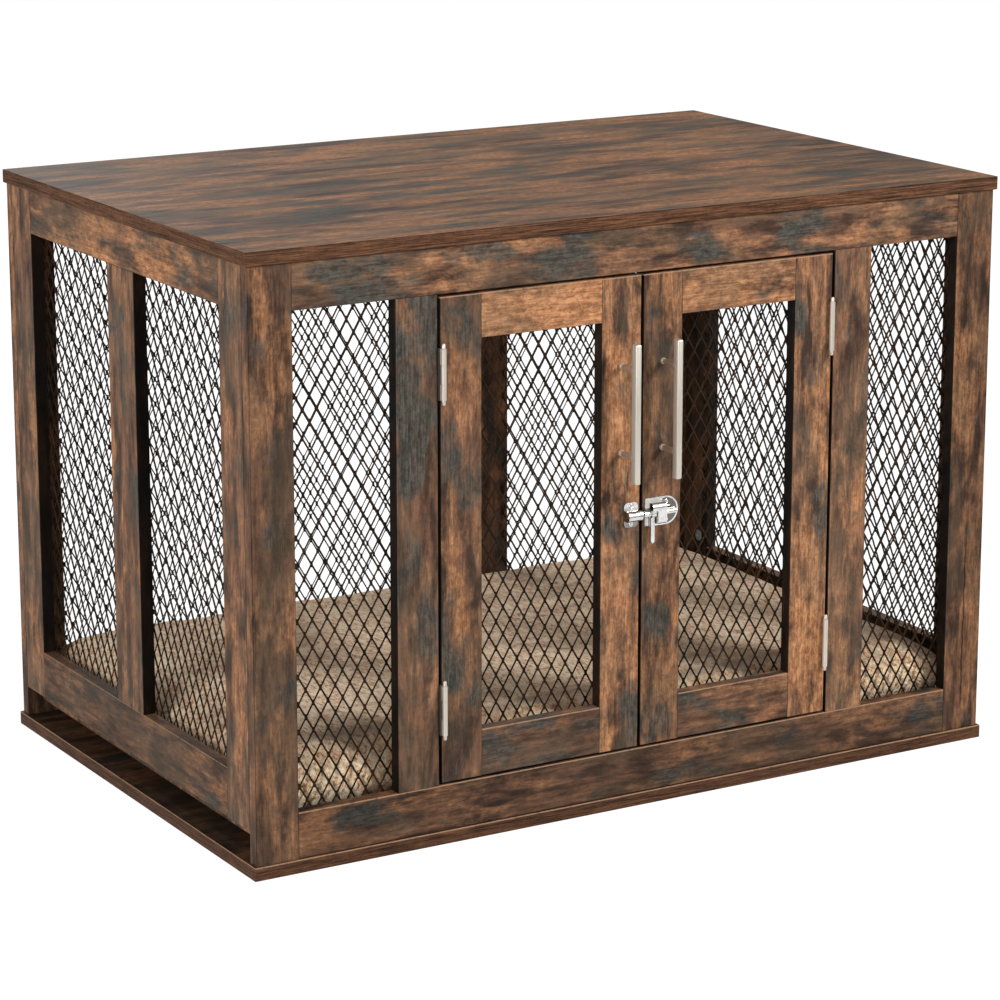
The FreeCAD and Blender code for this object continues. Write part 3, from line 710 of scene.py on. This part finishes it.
# The pad fills its place, its top is a little uneven, and its pile stands over the filling.
dents, dented_above, pile_stands = ((11, 0.0035), (30, 0.0012)), 0.02, 0.009
reach_x = max(abs(v.co.x - middle.x) for v in pad.data.vertices)
reach_y = max(abs(v.co.y - middle.y) for v in pad.data.vertices)
for v in pad.data.vertices:
    v.co.x = middle.x + (v.co.x - middle.x) * half.x / reach_x
    v.co.y = middle.y + (v.co.y - middle.y) * half.y / reach_y
    dent = sum(noise.noise(v.co * often) * deep for often, deep in dents)
    v.co.z += dent * min(1, max(0, v.co.z - low.z) / dented_above)
    v.co.x = min(high.x, max(low.x, v.co.x))
    v.co.y = min(high.y, max(low.y, v.co.y))
    v.co.z = min(high.z + pile_stands, max(low.z, v.co.z))
pad.data.materials.clear()
pad.data.materials.append(plush)
for face in pad.data.polygons:
    face.use_smooth = True
smoothed = pad.modifiers.new("smoothed", "SUBSURF")
smoothed.levels = smoothed.render_levels = 1
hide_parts("cushion")


# Studio. The crate stands on a wide pale floor under a white sky, lit by three softboxes. Black
# cards draw dark edges in the metal, and the camera stands where the photograph's did.
def sheet(name, width, height, material):
    """A flat sheet of the studio, made around its own middle."""
    x, y = width / 2, height / 2
    data = bpy.data.meshes.new(name)
    data.from_pydata([(-x, -y, 0), (x, -y, 0), (x, y, 0), (-x, y, 0)], [], [(0, 1, 2, 3)])
    data.materials.append(material)
    made = bpy.data.objects.new(name, data)
    bpy.context.scene.collection.objects.link(made)
    return made


def aim(thing, place, target):
    """Puts a lamp or card at place, turned to target."""
    thing.location = place
    thing.rotation_mode = "QUATERNION"
    thing.rotation_quaternion = (Vector(target) - Vector(place)).to_track_quat("-Z", "Y")


def seen_share(start):
    """1 where the camera looks, straight or in a mirror, and 0 for the light that falls on the crate."""
    kinds = ("Is Camera Ray", "Is Glossy Ray", "Is Transmission Ray")
    rays = [start.node("LightPath", {}, {}, kind) for kind in kinds]
    return rays[0].larger(rays[1]).larger(rays[2])


white, pale_grey = (1, 1, 1, 1), (0.86, 0.86, 0.86, 1)
floor_wide, floor_glow, floor_bright, sky_dim = 80, 1.14, 0.85, 0.22
floor_paint = bpy.data.materials.new("floor_paint")
floor_paint.use_nodes = True
floor_paint.node_tree.nodes.clear()
start = Shade(floor_paint.node_tree)
matt = start.node("BsdfDiffuse", {}, {"Color": pale_grey})
glow = start.node("Emission", {}, {"Color": white, "Strength": floor_glow})
floor_look = start.node("MixShader", {}, {0: seen_share(start) * floor_bright, 1: matt, 2: glow})
start.node("OutputMaterial", {}, {"Surface": floor_look})
sheet("floor", floor_wide, floor_wide, floor_paint)

world = bpy.data.worlds.new("studio")
bpy.context.scene.world = world
world.use_nodes = True
world.node_tree.nodes.clear()
start = Shade(world.node_tree)
brightness = sky_dim + (1 - sky_dim) * seen_share(start)
sky = start.node("Background", {}, {"Color": white, "Strength": brightness})
start.node("OutputWorld", {}, {"Surface": sky})


def softbox(name, place, target, width, power):
    data = bpy.data.lights.new(name, "AREA")
    data.shape, data.size, data.energy = "SQUARE", width, power
    lamp = bpy.data.objects.new(name, data)
    aim(lamp, place, target)
    lamp.visible_camera = False
    bpy.context.scene.collection.objects.link(lamp)


softbox("key", (2.0, -3.1, 2.5), (0, -0.2, 0.25), 0.9, 140)
softbox("fill", (-3.6, -1.4, 1.6), (-0.2, 0, 0.3), 1.6, 92)
softbox("rear", (0.3, 3.6, 2.4), (0, 0, 0.1), 1.4, 70)

card_paint, shader, start = finish("card_paint", base_color=(0.02, 0.02, 0.02, 1), specular_ior_level=0.0)
for name, place, target, width, height in (("card_low", (0.2, -1.6, 0.08), (0, -0.3, 0.45), 2.6, 0.35),
                                           ("card_right", (1.3, -1.0, 0.6), (0, -0.3, 0.4), 0.5, 1.0),
                                           ("card_high", (-0.6, -1.7, 1.5), (0, -0.3, 0.35), 1.6, 0.35)):
    card = sheet(name, width, height, card_paint)
    aim(card, place, target)
    card.visible_camera = card.visible_diffuse = card.visible_shadow = card.visible_transmission = False

camera_tilt, camera_turn = 13.396, -30.552
camera = bpy.data.objects.new("camera", bpy.data.cameras.new("camera"))
camera.data.sensor_width, camera.data.lens = 36, 126.1
camera.data.shift_y = -0.06
camera.location = (-2.0070, -3.4071, 1.2945)
camera.rotation_euler = (math.radians(90 - camera_tilt), 0, math.radians(camera_turn))
bpy.context.scene.collection.objects.link(camera)
bpy.context.scene.camera = camera
bpy.context.scene.view_settings.view_transform = "Standard"
